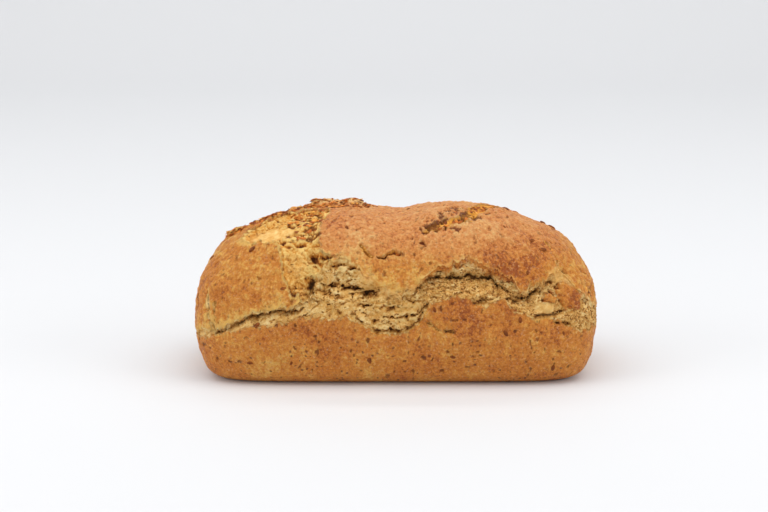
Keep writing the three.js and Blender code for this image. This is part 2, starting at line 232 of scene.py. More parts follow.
foot_turn = np.linspace(0, math.pi / 2, FOOT_ROWS + 1)[:, None]
wall_heights = [np.repeat(FOOT_RADIUS * (1 - np.cos(foot_turn)), column_count, axis=1)]
marks = [np.full(column_count, FOOT_RADIUS), column_lip, column_crack, column_eave]
marks.append(np.full(column_count, float(CAP_HEIGHT)))
for rows, low, high in zip(BAND_ROWS, marks, marks[1:]):
    wall_heights.append(low + (high - low) * np.arange(1, rows + 1)[:, None] / rows)
wall_heights = np.concatenate(wall_heights)
row_count = len(wall_heights)
wall = wall_points(np.broadcast_to(column_along, wall_heights.shape), wall_heights)

cap_i, cap_j = np.mgrid[1:CELLS_LONG, 1:CELLS_WIDE].reshape(2, -1)
cap_share = np.maximum(np.maximum(np.abs(grid_x[cap_i, cap_j]), np.abs(grid_y[cap_i, cap_j])), NEAR)
cap_along = girth_of(
    grid_x[cap_i, cap_j] / cap_share * LENGTH / 2, grid_y[cap_i, cap_j] / cap_share * WIDTH / 2
)
cap_rim = wall_points(cap_along, np.full(len(cap_along), float(CAP_HEIGHT)))
cap = top_points(cap_rim[:, 0] * cap_share, cap_rim[:, 1] * cap_share)

skin = np.concatenate([wall.reshape(-1, 3), cap])
along = np.concatenate([np.tile(column_along, row_count), cap_along])
girth_order = np.argsort(column_along)


def column_value(values):
    """A value of the columns for every point of the skin."""
    on_cap = np.interp(cap_along, column_along[girth_order], values[girth_order])
    return np.concatenate([np.tile(values, row_count), on_cap])


lip = column_value(column_lip)
crack = column_value(column_crack)
eave = column_value(column_eave)
height = skin[:, 2]
normals = skin_normals(skin)

# Where the dough stretched and baked smooth instead of tearing: middle and half sizes, seen from half-way
# above the front, and how much. Seen so, a place is as high as its height plus its distance back.
STRETCHED = [
    (-77, 70, 15, 10, 1.0), (-60, 34, 7, 14, 0.3), (101, 33, 9, 12, 0.8),
    (90, 0, 8, 6, 0.5), (-17, 24, 6, 13, 0.7), (-4, 8, 8, 6, 0.4),
]
FACING_FRONT = 0.1


def seen_from_front(points):
    """Points as seen from half-way above the front."""
    return np.stack([points[:, 0], points[:, 2] + points[:, 1]], axis=-1)


def shaken(amount, size, layers):
    """The skin's points moved about, so that what is drawn by them comes out uneven."""
    return skin + amount * np.stack([rough(skin, size, layer, 2) for layer in layers], axis=-1)


seen = seen_from_front(skin)
in_front = normals[:, 2] - normals[:, 1] > FACING_FRONT
wavy = shaken(0.9, 4, (7.7, 3.9, 12.1))
jagged = shaken(2.2, 5, (1.3, 9.2, 14.6))
pulled = shaken(1.6, 5, (1.9, 8.3, 13.4))
wavy_seen = seen_from_front(wavy)
jagged_seen = seen_from_front(jagged)
pulled_seen = seen_from_front(pulled)


def from_middle(places, x, over, half_x, half_over):
    """How far places are from a spot's middle, 1 at its border."""
    return np.hypot((places[:, 0] - x) / half_x, (places[:, 1] - over) / half_over)


stretched = np.zeros(len(skin))
for x, over, half_x, half_over, amount in STRETCHED:
    away = from_middle(jagged_seen, x, over, half_x, half_over)
    stretched = np.maximum(stretched, amount * (1 - smooth_step(0.5, 1.2, away)))
stretched *= in_front

# The crust's own unevenness, and the crumb's where it is torn: lumps, open cells and strands. Along the
# girth the top crust passes into the crumb more or less softly.
SOFT_EAVE = [
    (-313, 0.3), (-45, 0.2), (-22, 1), (12, 1), (20, 0.8), (62, 0.8), (78, 0.4), (92, 0.8), (130, 0.8),
    (150, 0.3), (313, 0.3),
]
CALM_AT_ENDS = 0.55
SWELL = 1.1
WRINKLES = 0.8
FINE_WRINKLES = 0.7
WRINKLES_ON_TIN = 0.6
LIP_BEAD = 0.5
LIP_BEAD_REACH = 7
EAVE_BEAD = 1.4
EAVE_BEAD_REACH = 11
SPECK_DEPTH = 0.5
LUMPS = 1.4
LEDGES = 0.6
LEDGE_SPACING = 3.4
RENT_DEPTH = 1.0
RENT_HALF = 0.1
STRANDS = 0.35
STRETCHED_STRANDS = 0.3
EAVE_STRANDS = 0.6
STROKES = 0.7
FINE_STROKES = 0.35
END_STRANDS = 0.9
RIGHT_END = (96, 108)
HOLE_DEPTH = 1.2
CRACK_HOLE_DEPTH = 0.6
BY_CRACK = 5
DROOP = 0.9
LUMP_DROOP = 0.4
TOASTED_FROM = (50, 70)
STROKE_TURN = math.radians(-40)
RIM_TURN = math.radians(32)
END_TURN = math.radians(55)
calm = 1 - CALM_AT_ENDS * smooth_step(90, 122, np.abs(skin[:, 0]))
on_tin = height < lip + NEAR
on_top = height > eave - NEAR
in_shred = ~(on_tin | on_top)
swell = SWELL * rough(skin, 26, 0.4)
wrinkles = WRINKLES * rough(skin, 9, 2.7, 3) + FINE_WRINKLES * rough(skin, 3, 5.1, 2)
crust_out = swell + wrinkles * np.where(on_tin, WRINKLES_ON_TIN, 1)
crust_out *= smooth_step(0, 2 * FOOT_RADIUS, height)
crust_out += np.where(on_tin, LIP_BEAD * np.exp(-np.abs(lip - height) / LIP_BEAD_REACH), 0)
soft = line_at(SOFT_EAVE, along)
eave_bead = (1 - 0.9 * soft) * calm * EAVE_BEAD * np.exp(-np.abs(height - eave) / EAVE_BEAD_REACH)
crust_out += np.where(on_top, eave_bead, 0)
specks = smooth_step(0.53, 0.61, rough(wavy, 3.4, 27.5))
crust_out -= SPECK_DEPTH * specks

lumps = LUMPS * rough(skin, 9, 11.3, 2)
layers = seen[:, 1] / LEDGE_SPACING + 1.4 * rough(skin, 12, 15.2, 2) + 0.4 * rough(skin, 4, 6.6)
ledges = LEDGES * (0.5 - layers % 1) * smooth_step(0, 0.35, rough(skin, (14, 14, 9), 25.4))
tattered = smooth_step(0, 0.3, rough(skin, (15, 15, 10), 3.1))
rent_width = RENT_HALF * np.clip(0.7 + 2 * rough(skin, 6, 19.5), 0.25, 1.6)
from_rent = np.abs(rough(pulled, (13, 13, 5), 4.7)) / rent_width
rents = -RENT_DEPTH * (1 - smooth_step(0.15, 1, from_rent)) * tattered
strands = (STRANDS + STRETCHED_STRANDS * stretched) * crests(pulled, (6, 6, 2.5), 9.1)
flaky_patches = smooth_step(-0.2, 0.3, rough(skin, 11, 44.1))
under_eave = (height > crack) & (height < eave)
fine_strands = np.where(under_eave, EAVE_STRANDS, STRANDS) * crests(pulled, (3.4, 3.4, 1.7), 6.2)
strands += fine_strands * flaky_patches


def slanted(places, turn):
    """Places seen from half-way above the front, along and across a slope."""
    along_slope = places[:, 0] * math.cos(turn) + places[:, 1] * math.sin(turn)
    across_slope = places[:, 1] * math.cos(turn) - places[:, 0] * math.sin(turn)
    return np.stack([along_slope, across_slope, 0 * along_slope], axis=-1)


toast = smooth_step(-6, 6, height - eave) * smooth_step(*TOASTED_FROM, height)
strokes = STROKES * crests(slanted(pulled_seen, STROKE_TURN), (9, 2.4, 1), 50.3, 2)
strokes += FINE_STROKES * crests(slanted(pulled_seen, STROKE_TURN), (4.5, 1.5, 1), 61.3)
strands += toast * in_front * (strokes - strands)
end_strands = END_STRANDS * crests(slanted(pulled_seen, END_TURN), (12, 3, 1), 71.7, 2)
strands += smooth_step(*RIGHT_END, skin[:, 0]) * in_front * (end_strands - strands)
by_crack = bell(height - crack, BY_CRACK)
hole_noise = rough(pulled, (4.4, 4.4, 2.6), 30.3, 2) + 0.16 * by_crack
hole_depth = (HOLE_DEPTH + CRACK_HOLE_DEPTH * by_crack) * (1 - 0.5 * toast)
holes = -hole_depth * smooth_step(0.42, 0.58, hole_noise)
fine_tear = (ledges + rents + holes) * (1 - 0.85 * stretched) + strands * (1 - 0.5 * stretched)
torn_bumps = lumps * (1 - 0.6 * stretched) + fine_tear
droop = (DROOP * rough(skin, 4.5, 17.3, 2) + LUMP_DROOP * lumps) * (1 - 0.7 * stretched)

# The shred: the crumb draws in from the lip and the eave to the crack's floor. On the right of the front
# the crust hangs a few millimetres below the eave, over the crack.
DRAW_BELOW = 1.4
DRAW_ABOVE = 1.1
CLEFT_SHARE = 0.3
CLEFT_HALF = 1.8
FULL_SHRED = 14
TORN_EASE = 2.5
FRINGE_LEFT = (10, 22)
FRINGE_RIGHT = (66, 76)
FRINGE_DROP = 4
EAVE_STEP = 0.6
SAG_SHARE = 0.3
SAG_REACH = 7
floor = line_at(CRACK_FLOOR, along)
below = height < crack
open_below = np.clip((height - lip) / (crack - lip), 0, 1)
open_above = np.clip((eave - height) / (eave - crack), 0, 1)
draw_in = np.where(below, open_below**DRAW_BELOW, open_above**DRAW_ABOVE)
gaping = np.clip(1 + 1.2 * rough(skin, 7, 21.4, 2), 0.5, 1.6)
cleft = CLEFT_SHARE * floor * gaping * bell(height - crack, CLEFT_HALF)
inward = np.minimum(height - lip, eave - height)
edge = np.where(on_tin, lip - height, np.where(on_top, height - eave, -inward))
wide = np.clip((eave - lip) / FULL_SHRED, 0.3, 1)
torn_ease = smooth_step(0, TORN_EASE, np.abs(edge))
fringe = smooth_step(*FRINGE_LEFT, skin[:, 0]) * (1 - smooth_step(*FRINGE_RIGHT, skin[:, 0])) * in_front
edge += np.where(under_eave, FRINGE_DROP * fringe, 0)
drawn = draw_in * floor * (1 - 0.6 * stretched) + cleft * (1 - stretched)
shred_out = swell + ((torn_bumps * torn_ease - EAVE_STEP * (1 - soft)) * calm - drawn) * wide
out = np.where(in_shred, shred_out, crust_out)
by_eave = np.where(on_top, np.exp(-np.abs(height - eave) / SAG_REACH), 1 - open_above)
sag = SAG_SHARE * floor * wide * by_eave
sag = np.where(on_top | (in_shred & ~below), sag, 0) + np.where(in_shred, droop * torn_ease * calm, 0)

# The tears over the top crust: the left shoulder's by its outline seen from half-way above the front, its
# end at the back and the right one as places in plan with the half width at each. The crags on the rim of
# the shoulder's tear also have their rise.
SHOULDER_TEAR = [
    (-96, 69), (-88, 57), (-84, 62), (-79, 56), (-75, 59), (-71, 55), (-69, 42), (-68, 24), (-65, 13),
    (-60, 7), (-54, 2), (-44, 4), (-41, 24), (-41, 36), (-45, 44), (-47, 52), (-47, 63), (-45, 79),
    (-41, 95), (-45, 104), (-56, 102), (-64, 100), (-70, 103), (-78, 95), (-85, 86), (-92, 79),
]
BACK_TEAR = [(-56, 22, 8), (-61, 32, 8), (-65, 44, 4)]
RIGHT_TEAR = [
    (20, -31, 3), (30, -28, 3.5), (38, -26, 3), (45, -20, 4), (51, -8, 5), (57, 2, 5), (64, 12, 3),
]
CRAG_RIM = [
    (-104, 8, 3, 2.8), (-99, 8, 4, 2.4), (-94, 9, 4, -1.5), (-86, 11, 5, -0.5), (-70, 17, 7, 0.3),
    (-58, 19, 8, 0.5), (-50, 18, 8, 3.5), (-44, 17, 8, 3), (-38, 15, 7, 1.5), (-33, 14, 7, 2),
    (-28, 12, 7, 3.2), (-23, 11, 6, 2.4), (-19, 9, 4, 0.5),
]
TEAR_DEEP = [1, 1, 0.45]
TEAR_DEPTH = 2.4
TEAR_FALL = 5
TEAR_STEP = 1
TEAR_BEAD = 0.4
TEAR_BEAD_REACH = 6
MOUTH_ALONG = -54
MOUTH_HALF = 16
MOUTH_DROP = 3.2
STRIP_HEIGHT = 1.2
STRIP_SINK = 0.3
UNDER_CRAG_DEPTH = 2.4
UNDER_CRAG_SHARE = 1.2
UNDER_CRAG_HALF = 0.2
ROUTE_STEP = 0.8


def inside_by(outline, places):
    """How far places are inside an outline, in millimetres, below 0 outside it."""
    corners = np.array(outline, float)
    near = np.full(len(places), np.inf)
    inside = np.zeros(len(places), bool)
    for start, end in zip(corners, np.roll(corners, -1, axis=0)):
        run = end - start
        share = np.clip((places - start) @ run / (run @ run), 0, 1)
        near = np.minimum(near, np.linalg.norm(places - start - share[:, None] * run, axis=1))
        between = (start[1] > places[:, 1]) != (end[1] > places[:, 1])
        meets = start[0] + (places[:, 1] - start[1]) / (run[1] or NEAR) * run[0]
        inside ^= between & (places[:, 0] < meets)
    return np.where(inside, near, -near)


def close_places(u, v, lay):
    """Places closely spaced along a route on the skin, with their distances along it and its corners'."""
    run = np.concatenate([[0], np.cumsum(np.hypot(np.diff(u), np.diff(v)))])
    fine = np.linspace(0, run[-1], int(run[-1] / ROUTE_STEP) + 2)
    return lay(np.interp(fine, run, u), np.interp(fine, run, v)), fine, run


def laid_route(route):
    """A tear's places closely spaced on the skin, with its half width at each."""
    x, y, half = np.array(route, float).T[:3]
    places, fine, run = close_places(x, y, top_points)
    return places, np.interp(fine, run, half)


def away_from(points, laid):
    """How far points are from a route's middle: as a share of its half width, and past that width."""
    places, halves = laid
    share = np.full(len(points), np.inf)
    past = np.full(len(points), np.inf)
    for place, half in zip(places, halves):
        away = np.linalg.norm(points - place, axis=1)
        nearer = away / half < share
        share = np.where(nearer, away / half, share)
        past = np.where(nearer, away - half, past)
    return share, past


upper = np.flatnonzero(on_top)
mouth = np.flatnonzero(in_shred & in_front & (np.abs(along - MOUTH_ALONG) < MOUTH_HALF))
mouth_in = inside_by(SHOULDER_TEAR, jagged_seen[mouth])
unease = (1 - torn_ease[mouth]) * smooth_step(0, TORN_EASE, mouth_in)
mouth_drop = MOUTH_DROP * smooth_step(0, TEAR_FALL, mouth_in) * (1 - open_above[mouth]) ** 2
out[mouth] += (torn_bumps[mouth] + EAVE_STEP) * unease - mouth_drop
tear_past = [np.where(in_front[upper], -inside_by(SHOULDER_TEAR, jagged_seen[upper]), np.inf)]
tear_past += [away_from(jagged[upper], laid_route(tear))[1] for tear in (BACK_TEAR, RIGHT_TEAR)]
upper_out = out[upper]
upper_edge = edge[upper]
for past, deep in zip(tear_past, TEAR_DEEP):
    torn_out = torn_bumps[upper] * smooth_step(0, TORN_EASE, -past)
    torn_out = (torn_out - TEAR_DEPTH * smooth_step(0, TEAR_FALL, -past) - TEAR_STEP) * deep
    upper_out = np.where(past < 0, np.minimum(upper_out, torn_out), upper_out)
    upper_edge = np.minimum(upper_edge, past)
from_tears = np.min(tear_past, axis=0)
upper_out += TEAR_BEAD * np.exp(-from_tears / TEAR_BEAD_REACH) * (from_tears > 0)
rim_share, rim_past = away_from(jagged[upper], laid_route(CRAG_RIM))
crag_x, _, _, crag_rise = np.array(CRAG_RIM, float).T
strips = crests(slanted(jagged_seen[upper], RIM_TURN), (12, 2.6, 1), 2.3, 2)
crag = np.interp(skin[upper, 0], crag_x, crag_rise) + STRIP_HEIGHT * strips - STRIP_SINK
upper_out += np.where(rim_share < 1, crag * (1 - np.minimum(rim_share, 1) ** 5), 0)
# The groove under the crag's rim and the hollows between its strips are also painted dark: painted shade.
under_crag = bell(rim_share - UNDER_CRAG_SHARE, UNDER_CRAG_HALF)
under_crag *= smooth_step(-0.1, 0.2, rough(skin[upper], (9, 5, 5), 6.4))
under_crag *= in_front[upper] & (tear_past[0] < 2)
upper_out -= UNDER_CRAG_DEPTH * under_crag
under_crag = np.maximum(under_crag, np.where(rim_share < 1, smooth_step(-0.4, 0.4, -strips), 0))
upper_edge = np.where(rim_share < 1, np.maximum(upper_edge, -rim_past), upper_edge)
out[upper] = upper_out
edge[upper] = upper_edge
on_rim = np.zeros(len(skin))
on_rim[upper] = 1 - smooth_step(0.7, 1.1, rim_share)

# Islands of crust left in the torn right shoulder, and in the torn dough deep pits and shallow gaps, seen
# from half-way above the front: middle and half sizes, and for the pits how deep they are. Both pits and
# gaps are also painted dark, as painted shade in them.
ISLANDS = [(105, 14, 8, 11), (93, 10, 4, 5)]
PITS = [
    (-50, 38, 3, 5, 4), (-51, 15, 3, 5, 3.5), (-58, 52, 4, 2.5, 3), (-33, 32, 4, 2, 3.5),
    (-27, 29, 3, 2, 3.5), (-42, 38, 4, 1.4, 3), (-37, 30, 3, 2, 3), (-78, 57, 1.2, 4, 2.5),
    (97, -7, 2, 1.5, 2.5), (103, -7, 2.5, 2, 2.5), (115, 43, 3, 1.5, 2), (118, 26, 2, 4, 2),
    (-38, 14, 3, 2, 2), (-31, 11, 3, 1.4, 1.6), (-26, 12, 4, 1.5, 2), (-20, 7.5, 4, 2, 1.6),
    (-14, 7, 4, 1.8, 1.8), (-21, 0, 4, 1.5, 2.4), (-45, 10, 4, 1.6, 2.6), (-40, 8, 3, 1.5, 2.2),
    (-36, 6, 4, 1.4, 2.2), (-4, -3, 3, 1.6, 2.6), (-13, -10, 3, 1.2, 2.5), (50, 2, 4, 1.5, 2.5),
]
GAPS = [
    (-63, 92, 5, 2), (-55, 89, 6, 2.5), (-48, 95, 6, 2.5), (-64, 80, 4, 3), (-56, 72, 5, 2),
    (-52, 75, 4, 3), (-58, 66, 5, 1.6), (-53, 60, 3, 4), (-49, 63, 3, 4), (-64, 66, 4, 1.5),
    (-65, 59, 4, 1.5), (-58, 82, 6, 2), (-50, 84, 5, 2.5), (-72, 94, 4, 1.5), (22, 69, 5, 8),
    (16, 64, 3, 4), (28, 76, 3, 6), (36, 94, 5, 5), (43, 84, 5, 8), (32, 87, 4, 3), (34, 63, 5, 2),
    (49, 80, 3, 4), (39, 76, 3, 3), (11, 53, 1.5, 2.5), (15, 50, 2.5, 1.2), (18, 48, 1.5, 1),
    (57, 88, 3, 2),
]
PIT_BLACK = 3.8
PIT_BORDER = 1.2
GAP_DEPTH = 1.3
GAP_DARK = 1.3
for x, over, half_x, half_over in ISLANDS:
    away = from_middle(jagged_seen, x, over, half_x, half_over)
    island = smooth_step(0, 0.35, 1 - away) * in_front
    out += island * (crust_out + 0.4 - out)
    edge = np.where(in_front, np.maximum(edge, half_x * (1 - away)), edge)
dark = np.zeros(len(skin))
for x, over, half_x, half_over, depth in PITS:
    away = from_middle(wavy_seen, x, over, half_x, half_over) + 0.3 * rough(skin, 2.6, over, 2)
    sunk = in_front * np.exp(-(np.maximum(away, 0) ** 3))
    out -= depth * sunk
    dark = np.maximum(dark, sunk * depth / PIT_BLACK)
    in_pit = in_front & (away < PIT_BORDER)
    edge = np.where(in_pit, np.minimum(edge, half_x * (away - PIT_BORDER)), edge)
frayed = rough(pulled, (2.6, 4, 4), 36.2, 3)
for x, over, half_x, half_over in GAPS:
    away = np.maximum(from_middle(jagged_seen, x, over, half_x, half_over) + 0.9 * frayed, 0)
    sunk = in_front * np.exp(-(away**4))
    out -= GAP_DEPTH * sunk
    dark = np.maximum(dark, GAP_DARK * sunk)

# Narrow cracks and folds: depth, half width and route, on the wall by girth and height, on the top by
# plan. The first two on the top are the smile-shaped flap in the middle of the crust.
WALL_CRACKS = [
    (3.5, 1.3, [(-24, 45), (-18, 41), (-11, 37), (-3, 37), (5, 37), (12, 42), (15, 47), (19, 54)]),
    (3.5, 1.2, [(-8, 46), (-3, 46), (9, 46), (15, 50), (19, 54)]),
    (4, 1.4, [(66, 57), (72, 55), (76, 57), (82, 57), (85, 60), (90, 65)]),
    (4, 1.5, [(84, 45), (91, 46), (96, 46), (102, 48)]),
    (2.2, 1.0, [(15, 45), (21, 41), (25, 38), (30, 37), (34, 36), (38, 38)]),
    (3, 1.5, [(47, 54), (52, 57), (58, 56)]),
    (3, 1.5, [(-110, 33), (-105, 35), (-97, 40), (-90, 45), (-77, 48), (-64, 49), (-56, 51)]),
    (2.4, 1.5, [(-121, 57), (-118, 50), (-116, 44)]),
    (2.4, 1.4, [(-117, 46), (-113, 40), (-110, 34)]),
    (1.8, 1, [(-113, 52), (-111, 45), (-108, 40)]),
    (2, 0.9, [(116, 38), (118, 33)]),
    (2, 0.9, [(110, 36), (112, 34)]),
]
TOP_CRACKS = [
    (3, 1.2, [(-22, -39), (-19, -42), (-15, -44), (-11, -44)]),
    (3, 1.0, [(-13, -44), (-7, -44), (-5, -42), (-2, -41), (2, -42), (6, -42)]),
    (2, 0.8, [(90, -22), (93, -24), (96, -27)]),
    (2, 0.8, [(96, -29), (98, -34), (99, -36)]),
    (2, 0.7, [(99, -36), (102, -35), (104, -35)]),
    (3.5, 1.4, [(28, 45), (35, 41), (45, 38), (54, 31)]),
]
CRACK_DARK = 1.2
BESIDE_CRACK = 8
CLEFT_DARK_HALF = 1.7
CRACK_SHADE_ALONG = -28
CRACK_SHADE_HALF = 22
CRACK_SHADE_HEIGHT = 4
CRACK_SHADE_BAND_STRENGTH = 0.95


def laid_crack(half, route, lay):
    """A crack's places closely spaced on the skin, with its half width at each, drawn in at the ends."""
    places, fine, run = close_places(*np.array(route, float).T, lay)
    arch = np.maximum(np.sin(math.pi * fine / run[-1]), 0)
    return places, half * (0.25 + 0.75 * np.sqrt(arch))


crack_depth = np.zeros(len(skin))
# Painted shade, drawn dark in the colour: under the crag's rim, in the pits and gaps, in the crack under
# the hanging crust on the right, in a band along the front's crack, and in the narrow cracks.
crevice_shade = np.zeros(len(skin))
crevice_shade[upper] = under_crag
crevice_shade = np.maximum(crevice_shade, dark)
crevice_shade = np.maximum(crevice_shade, fringe * bell(height - crack, CLEFT_DARK_HALF) * in_shred)
# Painted shade in a broken band along the crack in the middle of the front.
crack_shade_band = np.exp(-(((along - CRACK_SHADE_ALONG) / CRACK_SHADE_HALF) ** 4)) * bell(height - crack, CRACK_SHADE_HEIGHT)
crack_shade_band *= in_shred * smooth_step(-0.05, 0.25, rough(pulled, (4, 4, 2.5), 41.9, 2))
crevice_shade = np.maximum(crevice_shade, CRACK_SHADE_BAND_STRENGTH * crack_shade_band)
for lay, cracks in ((wall_points, WALL_CRACKS), (top_points, TOP_CRACKS)):
    for depth, half, route in cracks:
        places, halves = laid_crack(half, route, lay)
        halves *= np.clip(1 + 1.6 * rough(places, 6, 18.8, 2), 0.3, 1.5)
        beside = np.abs(skin - places.mean(axis=0)) < np.ptp(places, axis=0) / 2 + BESIDE_CRACK
        near_route = np.flatnonzero(np.all(beside, axis=1))
        share, past = away_from(wavy[near_route], (places, halves))
        cut = depth * bell(share, 1) * np.clip(0.9 + rough(skin[near_route], 7, 33.7), 0.5, 1.2)
        crack_depth[near_route] = np.maximum(crack_depth[near_route], cut)
        shadow = CRACK_DARK * bell(share, 0.8)
        crevice_shade[near_route] = np.maximum(crevice_shade[near_route], shadow)
        edge[near_route] = np.minimum(edge[near_route], 4 * past)
out -= crack_depth

# Where the crust baked darker, above 0, or stayed pale where it stretched, below 0: place, reach and
# amount. Just above the eave the crust is more or less pale along the girth.
PALE_EAVE = [
    (-313, 0.4), (-130, 0.4), (-110, 0.8), (-80, 1), (-50, 1), (-30, 0.6), (5, 0.5), (18, 0.2),
    (80, 0.1), (110, 0.5), (313, 0.4),
]
WALL_BAKE = [
    (58, 79, 8, 0.6), (68, 75, 8, 0.8), (80, 73, 8, 0.7), (92, 77, 7, 0.5), (46, 47, 14, 0.5),
    (66, 46, 10, 0.4), (100, 38, 12, 0.4), (-62, 58, 8, 0.3), (120, 38, 11, -0.3), (-121, 56, 3, -1.2),
    (-118, 50, 3, -1.4), (-115, 44, 3, -1.4), (-112, 38, 4, -1.2), (-80, 43, 6, -0.5),
    (110, 56, 4, 0.8), (112, 50, 3, 0.6), (-32, 76, 5, -0.9), (-37, 64, 5, 0.6), (-27, 61, 6, 0.6),
    (-16, 59, 6, 0.4),
]
TOP_BAKE = [(-30, -20, 12, 0.2), (24, -28, 7, 0.6), (37, -16, 8, 0.5)]
RIM_PALE = 0.5
bake = -RIM_PALE * on_rim
for lay, baked_spots in ((wall_points, WALL_BAKE), (top_points, TOP_BAKE)):
    for u, v, reach, amount in baked_spots:
        spot = lay(np.array([float(u)]), np.array([float(v)]))[0]
        bake += amount * bell(np.linalg.norm(skin - spot, axis=1), reach)

upright = np.array([0, 0, 1]) - normals * normals[:, 2:]
upright /= np.maximum(np.linalg.norm(upright, axis=1, keepdims=True), NEAR)
surface = skin + normals * out[:, None] - upright * sag[:, None]
surface[:column_count, 2] = 0
surface[:, 2] = np.maximum(surface[:, 2], 0)
middle = (surface[:, :2].min(axis=0) + surface[:, :2].max(axis=0)) / 2
surface[:, :2] -= middle
hollow = np.maximum(crust_out - out, 0)

rim_index = {place: (row_count - 1) * column_count + i for i, place in enumerate(rim_places)}
cap_places = zip(cap_i.tolist(), cap_j.tolist())
cap_index = {place: row_count * column_count + i for i, place in enumerate(cap_places)}
top_index = np.empty((CELLS_LONG + 1, CELLS_WIDE + 1), int)
for (i, j), index in (rim_index | cap_index).items():
    top_index[i, j] = index
left = np.arange((row_count - 1) * column_count).reshape(row_count - 1, column_count)
right = np.roll(left, -1, axis=1)
wall_faces = np.stack([left, right, right + column_count, left + column_count], axis=-1).reshape(-1, 4)
top_faces = np.stack(
    [top_index[:-1, :-1], top_index[1:, :-1], top_index[1:, 1:], top_index[:-1, 1:]], axis=-1
).reshape(-1, 4)
sole_face = list(range(column_count - 1, -1, -1))

# How far each point stands out from the surface about it, in millimetres: close by, and a few millimetres
# round. The colours use it as painted shade in the hollows and painted light on what stands out.
CLOSE_ROUNDS = 6
WIDE_ROUNDS = 50
PALE_REACH = 4.5
SOFT_REACH = 8
BLOOM_FROM = (72, 96)
BLOOM_LEFT = (-75, -35)
GOLDEN_LEFT = (12, 24)
faces = np.concatenate([wall_faces, top_faces])
starts = faces.ravel()
ends = np.roll(faces, -1, axis=1).ravel()
meetings = np.bincount(starts) + np.bincount(ends)


def stand_out(rounds):
    """How far points stand out from the surface smoothed over some rounds."""
    smoothed = surface.T
    for _ in range(rounds):
        totals = [np.bincount(starts, axis[ends]) + np.bincount(ends, axis[starts]) for axis in smoothed]
        smoothed = np.array(totals) / meetings
    return ((surface - smoothed.T) * normals).sum(axis=1) * smooth_step(8, 20, height)


right_crag = smooth_step(0, 20, skin[:, 0]) * smooth_step(60, 70, seen[:, 1])
looks = {
    "edge": edge,
    "hollow": hollow,
    "bake": bake,
    "close": stand_out(CLOSE_ROUNDS),
    "round": stand_out(WIDE_ROUNDS),
    "bloom": smooth_step(*BLOOM_FROM, height) * smooth_step(*BLOOM_LEFT, skin[:, 0]),
    "stretched": stretched,
    "toast": toast,
    "pale": line_at(PALE_EAVE, along) * on_top * np.exp(-np.maximum(height - eave, 0) / PALE_REACH),
    "porous": np.where(on_tin, 1 - 0.5 * smooth_step(20, 45, height), 0.4),
    "crevice_shade": crevice_shade,
    "soft": soft * np.exp(-np.abs(height - eave) / SOFT_REACH),
    "golden": np.where(under_eave, smooth_step(*GOLDEN_LEFT, skin[:, 0]), 0),
    "yellow": np.where(on_top & in_front, right_crag, 0),
    "specks": specks * np.where(on_top, 0.55, 1),
}


def loaf_piece(name, held, more_faces=()):
    """A piece of the loaf's skin that holds some of its faces."""
    used, held_corners = np.unique(held, return_inverse=True)
    mesh = bpy.data.meshes.new(name)
    mesh.from_pydata(
        (surface[used] * MM).tolist(), [], held_corners.reshape(-1, 4).tolist() + list(more_faces)
    )
    mesh.polygons.foreach_set("use_smooth", [True] * len(mesh.polygons))
    for look, values in looks.items():
        at_points = values[used].astype(np.float32)
        mesh.attributes.new(look, "FLOAT", "POINT").data.foreach_set("value", at_points)
    mesh.materials.append(bread)
    piece = bpy.data.objects.new(name, mesh)
    bpy.context.scene.collection.objects.link(piece)
    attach(piece, "root")
    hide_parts("loaf")


# The bread's finish: a dry crust, golden on the sides and redder on top, with pores, bran and dark specks,
# and crumb where it tore, toasted on the crags. Painted shade darkens the hollows, cracks, pits and pores,
# and the upper top crust's paler, pinker tone is partly painted sheen. Colours are screen values to 255.
SIDE_CRUST = [
    (0.0, (246, 192, 96)), (0.35, (229, 149, 56)), (0.7, (212, 124, 38)), (1.0, (168, 84, 24)),
]
TOP_CRUST = [
    (0.0, (252, 202, 130)), (0.35, (241, 168, 97)), (0.7, (229, 145, 74)), (1.0, (184, 96, 40)),
]
TORN_CRUMB = [
    (0.0, (92, 56, 22)), (0.25, (184, 126, 56)), (0.55, (234, 182, 100)), (1.0, (252, 224, 160)),
]
CRUMB_CLOUDS = [(0.0, (226, 206, 168)), (0.5, (248, 238, 220)), (1.0, (255, 255, 255))]
TOASTED_CRUMB = [
    (0.0, (100, 54, 18)), (0.25, (186, 110, 34)), (0.55, (230, 158, 62)), (1.0, (253, 212, 126)),
]
SMOOTH_CRUMB = [
    (0.0, (206, 142, 66)), (0.4, (234, 180, 98)), (0.8, (250, 214, 142)), (1.0, (252, 226, 168)),
]
BRAN_CREAM = (250, 208, 136)
PORE_SHADE = (120, 62, 24)
DRY_CREAM = (240, 192, 138)
FLECK_BROWN = (142, 82, 36)
SPECK_BROWN = (116, 62, 24)
CRAG_YELLOW = (246, 170, 62)
HOLLOW_SHADE_OLIVE = (212, 202, 172)
DEEP_HOLLOW_SHADE = (108, 74, 36)
CRUMB_SHADE = (92, 58, 24)
TOASTED_CRUMB_SHADE = (108, 50, 14)
DRIFT = 2.2
DRIFT_SPACING = 2
CRUST_GLOSS = 0.38
CRUST_ROUGHNESS = 0.52
CRUMB_ROUGHNESS = 0.85


def paint(red, green, blue):
    """A colour given as screen values from 0 to 255, as the shader's light values."""
    screen = np.array([red, green, blue]) / 255
    light = np.where(screen > 0.04045, ((screen + 0.055) / 1.055) ** 2.4, screen / 12.92)
    return (*light.tolist(), 1)


def shade(tree, kind, inputs, **settings):
    """A node of a material, its sockets given numbers, colours or other nodes' outputs."""
    node = tree.nodes.new(kind)
    for name, value in settings.items():
        setattr(node, name, value)
    for name, value in inputs.items():
        if isinstance(value, bpy.types.NodeSocket):
            tree.links.new(value, node.inputs[name])
        else:
            node.inputs[name].default_value = value
    return node


